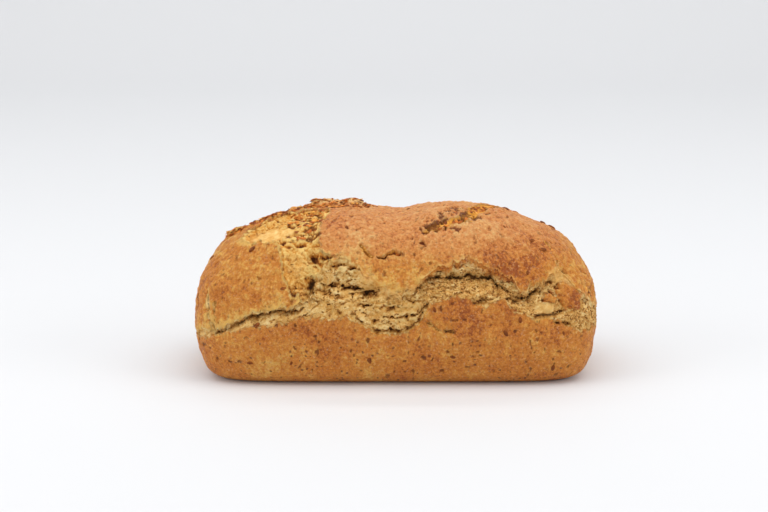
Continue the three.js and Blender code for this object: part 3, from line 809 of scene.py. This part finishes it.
def grain(tree, place, spacing, detail=3.0, roughness=0.55):
    """Cloudy noise with clouds about spacing millimetres apart."""
    settings = {"Vector": place, "Scale": 1 / (spacing * MM), "Detail": detail, "Roughness": roughness}
    return shade(tree, "ShaderNodeTexNoise", settings).outputs["Fac"]


def step_up(tree, value, low, high, start=0.0, end=1.0):
    """A smooth change from start to end while value goes from low to high."""
    limits = {"Value": value, "From Min": low, "From Max": high, "To Min": start, "To Max": end}
    return shade(tree, "ShaderNodeMapRange", limits, interpolation_type="SMOOTHSTEP").outputs["Result"]


def sums(tree, operation, first, second, third=0.0):
    """One step of arithmetic."""
    return shade(tree, "ShaderNodeMath", {0: first, 1: second, 2: third}, operation=operation).outputs[0]


def mixed(tree, share, first, second, blend="MIX"):
    """The first colour with a share of the second."""
    settings = {0: share, 6: first, 7: second}
    return shade(tree, "ShaderNodeMix", settings, data_type="RGBA", blend_type=blend).outputs[2]


def colour_steps(tree, value, steps):
    """A colour between steps of a value and a colour."""
    node = shade(tree, "ShaderNodeValToRGB", {"Fac": value})
    stops = node.color_ramp.elements
    while len(stops) < len(steps):
        stops.new(0.5)
    for stop, (at, colour) in zip(stops, steps):
        stop.position = at
        stop.color = paint(*colour)
    return node.outputs["Color"]


def attribute(tree, name):
    """A value that the mesh keeps at its points."""
    return shade(tree, "ShaderNodeAttribute", {}, attribute_name=name).outputs["Fac"]


def new_finish(name, gloss, roughness):
    """A material with its node tree, its shader and the place on the piece."""
    material = bpy.data.materials.new(name)
    material.use_nodes = True
    shader = material.node_tree.nodes["Principled BSDF"]
    shader.inputs["Specular IOR Level"].default_value = gloss
    shader.inputs["Roughness"].default_value = roughness
    place = shade(material.node_tree, "ShaderNodeTexCoord", {}).outputs["Object"]
    return material, material.node_tree, shader, place


bread, tree, shader, place = new_finish("bread", CRUST_GLOSS, CRUST_ROUGHNESS)
stretch = attribute(tree, "stretched")
ragged_edge = sums(tree, "MULTIPLY_ADD", grain(tree, place, 2.8, 5.0, 0.7), 11.0, -5.5)
crust_edge = sums(tree, "ADD", attribute(tree, "edge"), ragged_edge)
crust_edge = sums(tree, "MULTIPLY", crust_edge, step_up(tree, stretch, 0.0, 1.0, 1.0, 0.3))
soft_edge = attribute(tree, "soft")
crust_share = step_up(
    tree, crust_edge, step_up(tree, soft_edge, 0, 1, -0.5, -3.0), step_up(tree, soft_edge, 0, 1, 0.6, 3.0)
)
hollow_depth = attribute(tree, "hollow")
baked = attribute(tree, "bake")
relief_light_and_shade = attribute(tree, "close")
upright_place = shade(
    tree, "ShaderNodeVectorMath", {0: place, 1: (1, 1, 0.42)}, operation="MULTIPLY"
).outputs[0]
pale_patches = step_up(tree, grain(tree, place, 5, 3.0, 0.6), 0.3, 0.7, 0.3, 1.0)
cloud = sums(tree, "MULTIPLY_ADD", grain(tree, place, 26, 3.0, 0.5), 1.2, -0.1)
streaks = sums(tree, "MULTIPLY_ADD", grain(tree, upright_place, 4.5, 4.0, 0.62), 1.0, -0.5)
mottle = sums(tree, "MULTIPLY_ADD", grain(tree, place, 1.6, 4.0, 0.72), 1.9, -0.93)
tone = sums(tree, "ADD", sums(tree, "ADD", cloud, streaks), mottle)
bake_streaks = step_up(tree, grain(tree, upright_place, 3.2, 5.0, 0.65), 0.3, 0.7, 0.15, 0.75)
tone = sums(tree, "MULTIPLY_ADD", baked, bake_streaks, tone)
# Painted shade in the crust's hollows and painted light on what stands out.
tone = sums(tree, "MULTIPLY_ADD", relief_light_and_shade, -0.5, tone)
pale_share = sums(tree, "MULTIPLY", attribute(tree, "pale"), pale_patches)
tone = sums(tree, "MULTIPLY_ADD", pale_share, -0.7, tone)
side_colour = colour_steps(tree, tone, SIDE_CRUST)
top_colour = colour_steps(tree, tone, TOP_CRUST)
# The upper top crust is paler and pinker: partly its own colour, partly painted sheen.
crust_colour = mixed(tree, attribute(tree, "bloom"), side_colour, top_colour)


def dots(tree, place, spacing, least, most):
    """Round dots of uneven sizes, 1 in a dot: spacing in millimetres, the sizes as shares of it."""
    cells = shade(tree, "ShaderNodeTexVoronoi", {"Vector": place, "Scale": 1 / (spacing * MM)})
    kind = shade(tree, "ShaderNodeSeparateColor", {"Color": cells.outputs["Color"]}).outputs["Red"]
    size = step_up(tree, kind, 0.4, 1.0, least + 0.01, most)
    return step_up(tree, sums(tree, "DIVIDE", cells.outputs["Distance"], size), 0.6, 1.15, 1.0, 0.0)


drift_noise = {"Vector": place, "Scale": 1 / (DRIFT_SPACING * MM), "Detail": 2.0}
drift = shade(tree, "ShaderNodeTexNoise", drift_noise).outputs["Color"]
drifted = shade(
    tree, "ShaderNodeVectorMath", {0: drift, 1: (DRIFT * MM,) * 3, 2: place}, operation="MULTIPLY_ADD"
).outputs[0]
# Pores: small pits in the crust, bumped in and painted dark brown as painted shade, most on the tin's
# lower wall.
pores = sums(tree, "MULTIPLY", dots(tree, drifted, 3.1, 0.0, 0.34), attribute(tree, "porous"))
pores = sums(tree, "MULTIPLY", pores, step_up(tree, grain(tree, place, 12), 0.34, 0.54))
bran = dots(tree, upright_place, 4.2, 0.02, 0.15)
crust_colour = mixed(tree, sums(tree, "MULTIPLY", bran, 0.35), crust_colour, paint(*BRAN_CREAM))
crust_colour = mixed(tree, sums(tree, "MULTIPLY", pores, 0.85), crust_colour, paint(*PORE_SHADE))
dry_flecks = step_up(tree, grain(tree, place, 1.5, 3.0, 0.7), 0.54, 0.7, 0.0, 0.5)
crust_colour = mixed(tree, dry_flecks, crust_colour, paint(*DRY_CREAM))
brown_flecks = step_up(tree, grain(tree, drifted, 1.9, 3.0, 0.7), 0.56, 0.72, 0.0, 0.5)
crust_colour = mixed(tree, brown_flecks, crust_colour, paint(*FLECK_BROWN))
speck_share = sums(tree, "MULTIPLY", attribute(tree, "specks"), 0.75)
crust_colour = mixed(tree, speck_share, crust_colour, paint(*SPECK_BROWN))

crumb_grain = grain(tree, place, 1.3, 3.0, 0.68)
crumb_tone = sums(tree, "MULTIPLY_ADD", crumb_grain, 1.25, 0.05)
# Painted light on crumb that stands out, and painted shade in its hollows.
crumb_tone = sums(tree, "MULTIPLY_ADD", relief_light_and_shade, 0.42, crumb_tone)
crumb_tone = sums(tree, "MULTIPLY_ADD", attribute(tree, "round"), 0.08, crumb_tone)
crumb_tone = sums(tree, "MULTIPLY_ADD", baked, -0.35, crumb_tone)
crumb_tone = sums(tree, "MULTIPLY_ADD", attribute(tree, "golden"), 0.2, crumb_tone)
crumb_colour = colour_steps(tree, crumb_tone, TORN_CRUMB)
crumb_cloud = step_up(tree, grain(tree, place, 9, 3.0, 0.6), 0.3, 0.7)
cloud_colour = colour_steps(tree, crumb_cloud, CRUMB_CLOUDS)
crumb_colour = mixed(tree, 1.0, crumb_colour, cloud_colour, "MULTIPLY")
toasted = attribute(tree, "toast")
crumb_colour = mixed(tree, toasted, crumb_colour, colour_steps(tree, crumb_tone, TOASTED_CRUMB))
smooth_tone = sums(tree, "MULTIPLY_ADD", grain(tree, place, 3, 4.0, 0.6), 1.6, -0.3)
crumb_colour = mixed(tree, stretch, crumb_colour, colour_steps(tree, smooth_tone, SMOOTH_CRUMB))
yellow_grains = step_up(tree, crumb_grain, 0.3, 0.6, 0.3, 0.9)
yellow_share = sums(tree, "MULTIPLY", attribute(tree, "yellow"), yellow_grains)
crumb_colour = mixed(tree, yellow_share, crumb_colour, paint(*CRAG_YELLOW))
# Painted shade in the hollows: greyish olive, then dark brown, the deeper the crumb lies below the crust.
olive_shaded_colour = mixed(tree, 1.0, crumb_colour, paint(*HOLLOW_SHADE_OLIVE), "MULTIPLY")
hollow_shade = step_up(tree, hollow_depth, 3, 8)
olive_shade_share = sums(tree, "MULTIPLY", hollow_shade, step_up(tree, toasted, 0, 1, 1, 0.2))
crumb_colour = mixed(tree, olive_shade_share, crumb_colour, olive_shaded_colour)
crumb_colour = mixed(tree, step_up(tree, hollow_depth, 5.5, 11), crumb_colour, paint(*DEEP_HOLLOW_SHADE))
bread_colour = mixed(tree, crust_share, crumb_colour, crust_colour)
# Painted shade: a ragged dark line in the cracks, pits and gaps, browner in toasted crumb.
ragged_gap = sums(tree, "MULTIPLY_ADD", grain(tree, place, 1.6, 3.0, 0.6), 1.2, -0.6)
dark_line = sums(tree, "ADD", attribute(tree, "crevice_shade"), ragged_gap)
dark_line = step_up(tree, dark_line, 0.6, 1.4, 0.0, 0.85)
painted_shade_colour = mixed(tree, toasted, paint(*CRUMB_SHADE), paint(*TOASTED_CRUMB_SHADE))
bread_colour = mixed(tree, dark_line, bread_colour, painted_shade_colour)

crumb_bumps = sums(tree, "MULTIPLY", crumb_grain, step_up(tree, stretch, 0.0, 1.0, 1.8, 0.8))
crust_bumps = sums(tree, "MULTIPLY", grain(tree, place, 2.2, 5.0, 0.68), 3.5)
crust_bumps = sums(tree, "MULTIPLY_ADD", pores, -0.6, crust_bumps)
bumps = shade(tree, "ShaderNodeMix", {0: crust_share, 2: crumb_bumps, 3: crust_bumps}, data_type="FLOAT")
bump = shade(tree, "ShaderNodeBump", {"Height": bumps.outputs[0], "Strength": 0.9, "Distance": MM})
roughness = step_up(tree, crust_share, 0, 1, CRUMB_ROUGHNESS, CRUST_ROUGHNESS)
tree.links.new(bread_colour, shader.inputs["Base Color"])
tree.links.new(roughness, shader.inputs["Roughness"])
tree.links.new(bump.outputs["Normal"], shader.inputs["Normal"])

# The loaf's skin in three pieces: the tin's crust with the sole, the shred, and the top crust.
tin_rows = FOOT_ROWS + BAND_ROWS[0]
shred_rows = BAND_ROWS[1] + BAND_ROWS[2]
tin_faces, shred_faces, shoulder_faces = np.split(
    wall_faces, np.cumsum([tin_rows, shred_rows]) * column_count
)
loaf_piece("tin_crust", tin_faces, [sole_face])
loaf_piece("shred", shred_faces)
loaf_piece("top_crust", np.concatenate([shoulder_faces, top_faces]))

# Crumbs: bits of torn crumb that stand up from the shred and the tears all over the loaf.
# Each is a lump or a short strand of soft crumb, a millimetre or two long, still held by the loaf.
CRUMB_COUNT = 4200
CRUMB_DRAW = 7
CRUMB_HALF = [(0.4, 1.3), (0.25, 0.8), (0.15, 0.45)]
CRUMB_COLOURS = [(0.0, (140, 88, 40)), (0.4, (206, 148, 76)), (1.0, (238, 188, 110))]
CRUMB_GLOSS = 0.2
LUMP_UNEVEN = (0.65, 1.35)

corners = surface[faces]
face_cross = np.cross(corners[:, 2] - corners[:, 0], corners[:, 3] - corners[:, 1])
face_area = np.linalg.norm(face_cross, axis=1) / 2
face_out = normals[faces].mean(axis=1)
face_middle = corners.mean(axis=1)


def ball(subdivisions):
    """The points and faces of a ball of radius 1."""
    shape = bmesh.new()
    bmesh.ops.create_icosphere(shape, subdivisions=subdivisions, radius=1)
    points = np.array([point.co for point in shape.verts])
    triangles = np.array([[point.index for point in face.verts] for face in shape.faces])
    shape.free()
    return points, triangles


def lying(points, sizes, up, toward):
    """Copies of a lump's points, sized and laid flat: up points out of the loaf, toward turns them."""
    side = np.cross(up, toward)
    side /= np.linalg.norm(side, axis=1, keepdims=True)
    axes = np.stack([side, np.cross(up, side), up], axis=1)
    return np.einsum("nvi,nij->nvj", points * sizes[:, None], axes)


def lumps_mesh(name, points, triangles, smooth):
    """One mesh of many like lumps."""
    count, points_each = points.shape[:2]
    all_triangles = triangles + points_each * np.arange(count)[:, None, None]
    mesh = bpy.data.meshes.new(name)
    mesh.from_pydata((points.reshape(-1, 3) * MM).tolist(), [], all_triangles.reshape(-1, 3).tolist())
    mesh.polygons.foreach_set("use_smooth", [smooth] * len(mesh.polygons))
    return mesh


ball_points, ball_faces = ball(1)


def scattered(name, seed, weights, count, half_sizes, lift, lean, stray, smooth):
    """Uneven little lumps at drawn faces: half sizes as (least, most) along, across and thick."""
    draw = np.random.default_rng(seed)
    chances = face_area * weights
    picked = draw.choice(len(faces), count, p=chances / chances.sum())
    up = face_out[picked] + lean * draw.normal(size=(count, 3))
    up /= np.linalg.norm(up, axis=1, keepdims=True)
    toward = np.array([0, 1, 0]) + stray * draw.normal(size=(count, 3))
    sizes = np.stack([draw.uniform(least, most, count) for least, most in half_sizes], axis=1)
    bits = ball_points * draw.uniform(*LUMP_UNEVEN, (count, len(ball_points), 1))
    points = lying(bits, sizes, up, toward)
    points += (face_middle[picked] + lift * up)[:, None]
    points[:, :, 2] = np.maximum(points[:, :, 2], 0)
    mesh = lumps_mesh(name, points, ball_faces, smooth)
    tones = np.repeat(draw.uniform(0, 1, count), len(ball_points)).astype(np.float32)
    mesh.attributes.new("tone", "FLOAT", "POINT").data.foreach_set("value", tones)
    return mesh


torn = (edge < -1) & (hollow < 7) & (stretched < 0.4)
crumbly = np.where(on_top, 0.1, np.where(skin[:, 0] > 12, 1, 0.3))
crumb_weights = torn[faces].all(axis=1) * crumbly[faces[:, 0]]
crumb_mesh = scattered(
    "crumbs", CRUMB_DRAW, crumb_weights, CRUMB_COUNT, CRUMB_HALF,
    lift=0.1, lean=0.35, stray=2, smooth=True,
)
crumb, tree, shader, place = new_finish("crumb", CRUMB_GLOSS, CRUMB_ROUGHNESS)
bit_tone = sums(tree, "MULTIPLY_ADD", grain(tree, place, 1.2), 0.6, attribute(tree, "tone"))
bit_colour = colour_steps(tree, sums(tree, "ADD", bit_tone, -0.3), CRUMB_COLOURS)
bump = shade(
    tree, "ShaderNodeBump", {"Height": grain(tree, place, 0.9), "Strength": 0.8, "Distance": 1.2 * MM}
)
tree.links.new(bit_colour, shader.inputs["Base Color"])
tree.links.new(bump.outputs["Normal"], shader.inputs["Normal"])
crumb_mesh.materials.append(crumb)
crumbs = bpy.data.objects.new("crumbs", crumb_mesh)
bpy.context.scene.collection.objects.link(crumbs)
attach(crumbs, "root")

# Flakes: chips of brown crust that broke along the crags and the edges of the tears over the top.
# They are thin, uneven bits of the same crust, baked hard where they stand.
FLAKE_COUNT = 620
FLAKE_DRAW = 12
FLAKE_HALF = [(0.9, 2.6), (0.8, 1.9), (0.2, 0.4)]
FLAKE_COLOURS = [
    (0.0, (112, 54, 20)), (0.4, (182, 98, 34)), (0.7, (220, 130, 48)), (1.0, (242, 176, 80)),
]
FLAKE_GLOSS = 0.22
FLAKE_ROUGHNESS = 0.6
SHOULDER_LOW = 58
SHOULDER_LEFT = -68

flaky = np.zeros(len(skin))
crag_share, _ = away_from(skin[upper], laid_route(CRAG_RIM))
torn_top = on_top & in_front & (edge < 0) & (stretched < 0.3)
flaky[torn_top & (seen[:, 1] > SHOULDER_LOW) & (skin[:, 0] > SHOULDER_LEFT)] = 1
flaky[torn_top & (skin[:, 0] > 0)] = 0.8
flaky[upper] = np.where(crag_share < np.where(in_front[upper], 1.6, 1), 1, flaky[upper])
flaky[dark > 0.5] = 0
flake_weights = flaky[faces].min(axis=1)
flake_mesh = scattered(
    "flakes", FLAKE_DRAW, flake_weights, FLAKE_COUNT, FLAKE_HALF,
    lift=0.15, lean=0.2, stray=0.3, smooth=False,
)
flake, tree, shader, place = new_finish("flake", FLAKE_GLOSS, FLAKE_ROUGHNESS)
chip_tone = sums(tree, "MULTIPLY_ADD", grain(tree, place, 2.5), 1.0, attribute(tree, "tone"))
chip_colour = colour_steps(tree, sums(tree, "ADD", chip_tone, -0.5), FLAKE_COLOURS)
bump = shade(
    tree, "ShaderNodeBump", {"Height": grain(tree, place, 1.4), "Strength": 0.8, "Distance": MM}
)
tree.links.new(chip_colour, shader.inputs["Base Color"])
tree.links.new(bump.outputs["Normal"], shader.inputs["Normal"])
flake_mesh.materials.append(flake)
flakes = bpy.data.objects.new("flakes", flake_mesh)
bpy.context.scene.collection.objects.link(flakes)
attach(flakes, "root")

# Linseed: flat brown seeds baked into the crust, some on the loaf's outside and a few in the top crust.
# They lie in the dough's skin, half sunk, so that only their backs show.
SEED_HALF = np.array([2.5, 1.3, 0.8])
WALL_SEEDS = [
    (75, 44), (23, 51), (101, 34), (97, 12), (34, 20), (66, 36), (-16, 18), (-64, 16), (-90, 16),
    (-68, 63), (-85, 40), (61, 76), (80, 71), (125, 56), (-130, 52), (-150, 70), (170, 60), (188, 20),
    (205, 30), (230, 15), (-210, 22), (-180, 14), (-240, 30), (-275, 18), (290, 24), (262, 84),
    (-262, 86), (-222, 72),
]
TOP_SEEDS = [
    (83, -27), (89, -30), (69, 9), (82, 14), (93, 14), (98, 12), (8, 6), (-14, 26), (30, 22),
    (-88, -30), (58, 30), (-30, -30), (66, -24),
]
SEED_DRAW = 3
SEED_UNEVEN = (0.5, 1.2)
SEED_COLOURS = [(0.3, (96, 48, 16)), (0.5, (126, 66, 22)), (0.7, (164, 94, 36))]
SEED_GLOSS = 0.2
SEED_ROUGHNESS = 0.6

draw = np.random.default_rng(SEED_DRAW)
seed_places = np.concatenate(
    [wall_points(*np.array(WALL_SEEDS, float).T), top_points(*np.array(TOP_SEEDS, float).T)]
)
nearest = np.array([np.argmin(np.linalg.norm(skin - seed, axis=1)) for seed in seed_places])
seed_turn = draw.normal(size=seed_places.shape)
seed_sizes = SEED_HALF * draw.uniform(*SEED_UNEVEN, (len(seed_places), 1))
seed_points, seed_faces = ball(2)
seed_points = lying(seed_points, seed_sizes, skin_normals(seed_places), seed_turn)
seed_points += surface[nearest][:, None]
seed_mesh = lumps_mesh("linseed", seed_points, seed_faces, True)
seed_coat, tree, shader, place = new_finish("seed coat", SEED_GLOSS, SEED_ROUGHNESS)
coat_colour = colour_steps(tree, grain(tree, place, 2), SEED_COLOURS)
tree.links.new(coat_colour, shader.inputs["Base Color"])
seed_mesh.materials.append(seed_coat)
linseed = bpy.data.objects.new("linseed", seed_mesh)
bpy.context.scene.collection.objects.link(linseed)
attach(linseed, "root")

# The studio: a sweep of white paper that runs from the floor up into the backdrop. A broad soft light
# hangs above, one stands at each side, a weak one in front, and one lights the backdrop. The camera looks
# 14 degrees down on the table.
SWEEP_HALF_WIDTH = 3.0
SWEEP_FRONT = -2.0
SWEEP_BACK = 1.2
SWEEP_RADIUS = 0.8
SWEEP_TOP = 2.6
PAPER_WHITE = (231, 232, 234)
WORLD_LIGHT = 0.44
bend = np.linspace(0, math.pi / 2, 25)
sweep_profile = [(SWEEP_FRONT, 0.0)]
sweep_profile += [
    (SWEEP_BACK + SWEEP_RADIUS * math.sin(turn), SWEEP_RADIUS * (1 - math.cos(turn))) for turn in bend
]
sweep_profile += [(SWEEP_BACK + SWEEP_RADIUS, SWEEP_TOP)]
sweep_points = [(x, y, z) for y, z in sweep_profile for x in (-SWEEP_HALF_WIDTH, SWEEP_HALF_WIDTH)]
sweep_faces = [(2 * i, 2 * i + 1, 2 * i + 3, 2 * i + 2) for i in range(len(sweep_profile) - 1)]
sweep_mesh = bpy.data.meshes.new("sweep")
sweep_mesh.from_pydata(sweep_points, [], sweep_faces)
sweep_mesh.polygons.foreach_set("use_smooth", [True] * len(sweep_faces))
white_paper = bpy.data.materials.new("white paper")
white_paper.use_nodes = True
paper = white_paper.node_tree.nodes["Principled BSDF"]
paper.inputs["Base Color"].default_value = paint(*PAPER_WHITE)
paper.inputs["Roughness"].default_value = 0.9
paper.inputs["Specular IOR Level"].default_value = 0.1
sweep_mesh.materials.append(white_paper)
sweep = bpy.data.objects.new("sweep", sweep_mesh)
bpy.context.scene.collection.objects.link(sweep)


def soft_light(name, place, target, width, depth, watts):
    """A broad light that faces its target."""
    light = bpy.data.lights.new(name, "AREA")
    light.shape = "RECTANGLE"
    light.size = width
    light.size_y = depth
    light.energy = watts
    holder = bpy.data.objects.new(name, light)
    holder.location = place
    aim = np.array(target) - np.array(place)
    tilt = math.atan2(math.hypot(aim[0], aim[1]), -aim[2])
    holder.rotation_euler = (tilt, 0, math.atan2(-aim[0], aim[1]))
    bpy.context.scene.collection.objects.link(holder)


soft_light("overhead light", (0.0, -0.25, 1.3), (0, 0, 0), width=2.8, depth=0.9, watts=14.2)
soft_light("left light", (-1.4, -0.5, 0.7), (0, 0, 0.05), width=1.0, depth=0.6, watts=5.5)
soft_light("right light", (1.4, -0.5, 0.7), (0, 0, 0.05), width=1.0, depth=0.6, watts=5.5)
soft_light("front light", (0.1, -1.6, 0.6), (0, 0, 0.05), width=1.4, depth=0.6, watts=0.8)
soft_light("backdrop light", (0, 0.9, 2.0), (0, 2.0, 0.6), width=4.0, depth=0.4, watts=16)

world = bpy.data.worlds.new("studio")
world.use_nodes = True
daylight = world.node_tree.nodes["Background"]
daylight.inputs["Color"].default_value = (1, 1, 1, 1)
daylight.inputs["Strength"].default_value = WORLD_LIGHT
bpy.context.scene.world = world
bpy.context.scene.view_settings.view_transform = "Standard"

CAMERA_TILT = math.radians(14)
CAMERA_DISTANCE = 1.1
CAMERA_TARGET = (-0.007, 0.0169, 0.0663)
FRAME_WIDTH_AT_TARGET = 0.49
SENSOR_WIDTH = 36
camera_data = bpy.data.cameras.new("camera")
camera_data.sensor_width = SENSOR_WIDTH
camera_data.lens = SENSOR_WIDTH * CAMERA_DISTANCE / FRAME_WIDTH_AT_TARGET
camera = bpy.data.objects.new("camera", camera_data)
camera.location = (
    CAMERA_TARGET[0],
    CAMERA_TARGET[1] - CAMERA_DISTANCE * math.cos(CAMERA_TILT),
    CAMERA_TARGET[2] + CAMERA_DISTANCE * math.sin(CAMERA_TILT),
)
camera.rotation_euler = (math.pi / 2 - CAMERA_TILT, 0, 0)
bpy.context.scene.collection.objects.link(camera)
bpy.context.scene.camera = camera
